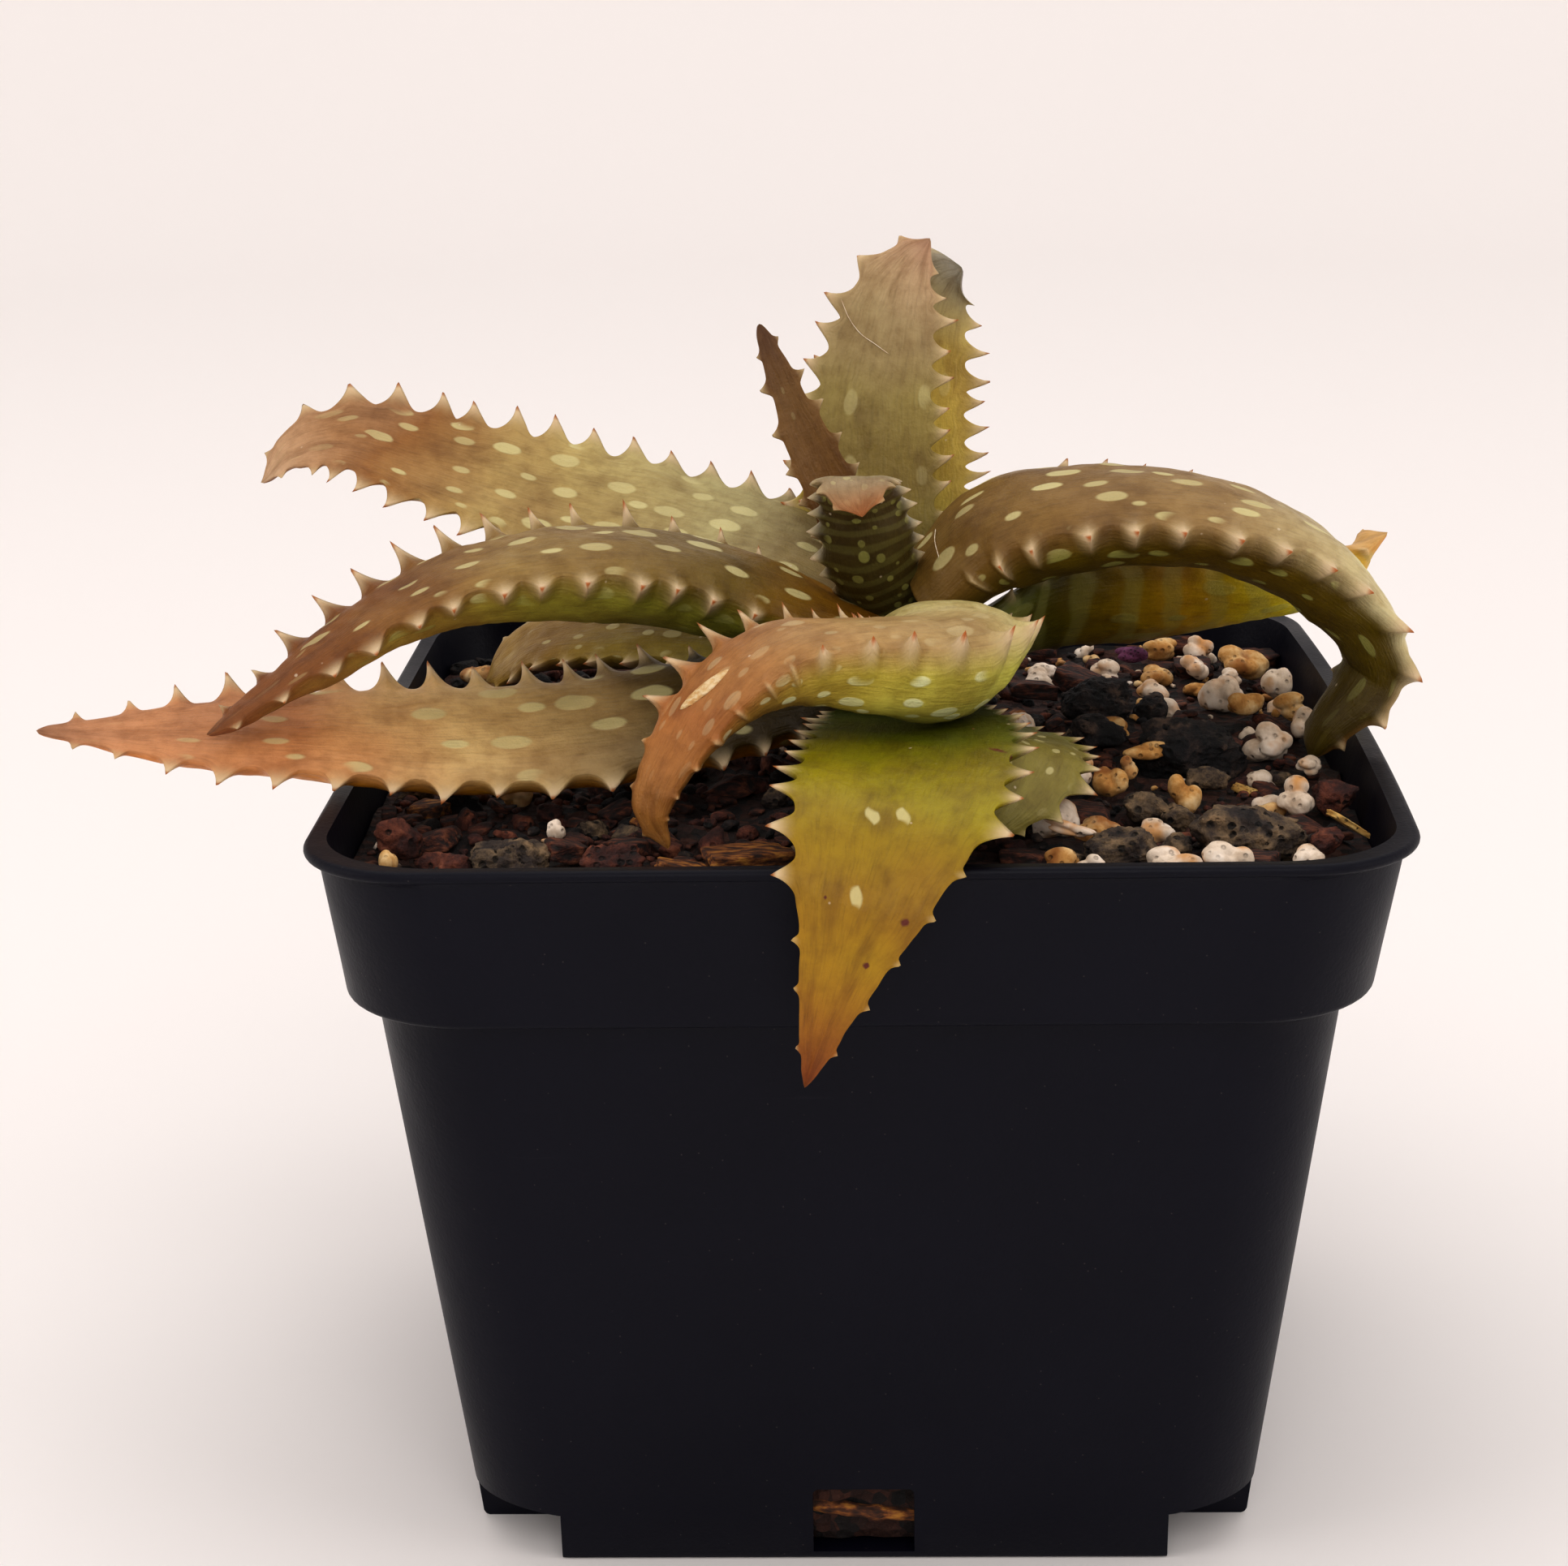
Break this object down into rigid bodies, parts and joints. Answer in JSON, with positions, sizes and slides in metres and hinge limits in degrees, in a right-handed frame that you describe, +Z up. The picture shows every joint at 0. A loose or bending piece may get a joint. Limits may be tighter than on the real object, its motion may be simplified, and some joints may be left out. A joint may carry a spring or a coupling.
{
  "type": "potted aloe hybrid",
  "caption": "Young spotted aloe with arching toothed leaves, growing in stony mix in a square black nursery pot.",
  "frame": {"origin": "middle of the pot's flat base, on the surface it stands on", "axes": "+Z up, +X to the right and -Y to the front, where a leaf hangs over the rim"},
  "size_m": [0.1329, 0.106, 0.1213],
  "materials": {
    "pot_plastic": "satin moulded plastic, near black with a blue tint",
    "potting_mix": "dark crumbly bark and grit",
    "root": "dry fibrous root",
    "stem": "dull skin",
    "lava_stone": "rough porous lava",
    "dark_stone": "rough charred black lava",
    "bark": "rough bark",
    "pumice": "rough pale pumice",
    "tan_stone": "rough tan pumice",
    "leaf_olive_green": "satin succulent skin with pale oval spots",
    "leaf_orange_brown": "satin succulent skin, flushed orange-brown, with pale spots",
    "leaf_tan_green": "satin succulent skin, tan above and yellow-green below",
    "leaf_yellow_green": "satin yellow-green succulent skin",
    "leaf_dry": "dull dried skin"
  },
  "bodies": {
    "root": {"pot": "pot_plastic", "potting_mix": "potting_mix", "root_at_drain": "root", "stem": "stem", "lava_rock_right": "lava_stone", "lava_rock_middle": "dark_stone", "lava_rock_back": "dark_stone", "lava_rock_front": "lava_stone", "lava_rock_left": "lava_stone", "lava_rock_red": "lava_stone", "bark_chip": "bark", "pumice_front": "pumice", "pumice_round": "pumice", "pumice_corner": "pumice", "pumice_side": "pumice", "pumice_large": "pumice", "pumice_middle": "pumice", "pumice_back": "tan_stone", "pumice_near_left": "pumice", "pumice_near_right": "tan_stone", "pumice_ochre": "tan_stone", "pumice_far_left": "tan_stone", "leaf_young_curled": "leaf_olive_green", "leaf_thin_dry": "leaf_dry", "leaf_upright": "leaf_olive_green", "leaf_upright_back": "leaf_olive_green", "leaf_front_hooked": "leaf_tan_green", "leaf_upper_left": "leaf_orange_brown", "leaf_middle_left": "leaf_olive_green", "leaf_right_arching": "leaf_olive_green", "leaf_lower_left": "leaf_orange_brown", "leaf_right_lower": "leaf_olive_green", "leaf_front_hanging": "leaf_yellow_green", "leaf_back_left": "leaf_olive_green", "leaf_front_under": "leaf_olive_green"}
  },
  "joints": []
}
